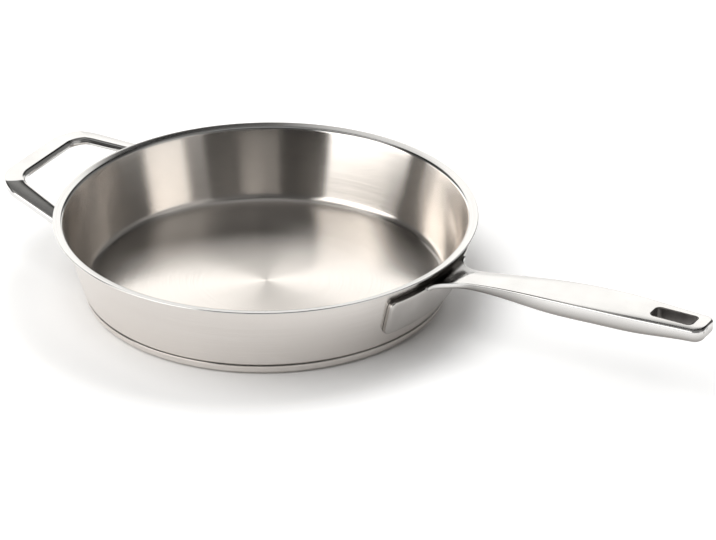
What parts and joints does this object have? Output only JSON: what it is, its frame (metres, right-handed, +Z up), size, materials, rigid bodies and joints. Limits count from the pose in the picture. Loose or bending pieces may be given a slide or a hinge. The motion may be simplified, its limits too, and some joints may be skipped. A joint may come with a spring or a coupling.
{
  "type": "frying pan",
  "caption": "Stainless-steel frying pan with a flared pouring lip, an encapsulated flat base, a welded long handle with a hanging slot and a welded loop handle opposite.",
  "frame": {"origin": "centre of the flat underside of the base, on the bowl's axis", "axes": "+X from the bowl's axis along the long handle, +Z up out of the bowl"},
  "size_m": [0.5249, 0.29, 0.0595],
  "materials": {
    "bowl_steel": "satin stainless steel, brushed round the wall and turned on the floor, with a bright lip",
    "base_steel": "satin stainless steel with a bright edge",
    "core_aluminium": "bare pressed aluminium, hidden",
    "handle_steel": "polished stainless steel",
    "tongue_steel": "plain sheet steel, hidden",
    "sleeve_steel": "darkened satin steel lining"
  },
  "bodies": {
    "root": {"pan_shell": "bowl_steel", "base_cap": "base_steel", "base_core": "core_aluminium", "handle_flange": "handle_steel", "handle_cover": "handle_steel", "handle_trough": "handle_steel", "handle_tongue": "tongue_steel", "hang_sleeve": "sleeve_steel", "loop_handle": "handle_steel", "loop_foot_right": "handle_steel", "loop_foot_left": "handle_steel"}
  },
  "joints": []
}
